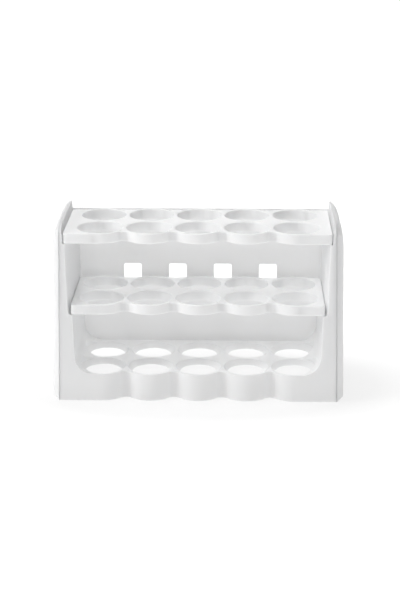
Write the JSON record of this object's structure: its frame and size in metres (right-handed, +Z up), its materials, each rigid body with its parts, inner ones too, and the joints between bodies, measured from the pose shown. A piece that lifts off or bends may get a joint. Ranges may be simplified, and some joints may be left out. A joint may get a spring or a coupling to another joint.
{
  "type": "egg holder tray",
  "caption": "Tiered egg rack: a moulded frame with egg seats, hollow bevelled sides, a windowed back wall and flip-up perforated egg trays.",
  "frame": {"origin": "middle of the bounding box's underside, on the surface that the rack stands on", "axes": "+Z up, -Y towards the scalloped front, +X to the right seen from the front"},
  "size_m": [0.2732, 0.099, 0.168],
  "materials": {
    "frame": "satin white moulded polypropylene",
    "cover": "satin white moulded polypropylene, slightly smoother than the frame",
    "tray": "satin white moulded polypropylene"
  },
  "bodies": {
    "frame": {"frame_deck": "frame", "frame_front_skirt": "frame", "frame_back_wall": "frame", "frame_left_wall": "frame", "frame_right_wall": "frame", "left_side_cover": "cover", "right_side_cover": "cover"},
    "middle_tray": {"middle_tray": "tray"},
    "top_tray": {"top_tray": "tray"}
  },
  "joints": [
    {"name": "top_tray_flip", "type": "hinge", "parent": "frame", "child": "top_tray", "pos_m": [0, 0.039, 0.1568], "axis": [-1, 0, 0], "range_deg": [0, 98]},
    {"name": "middle_tray_flip", "type": "hinge", "parent": "frame", "child": "middle_tray", "pos_m": [0, 0.039, 0.0891], "axis": [-1, 0, 0], "range_deg": [0, 38]}
  ]
}
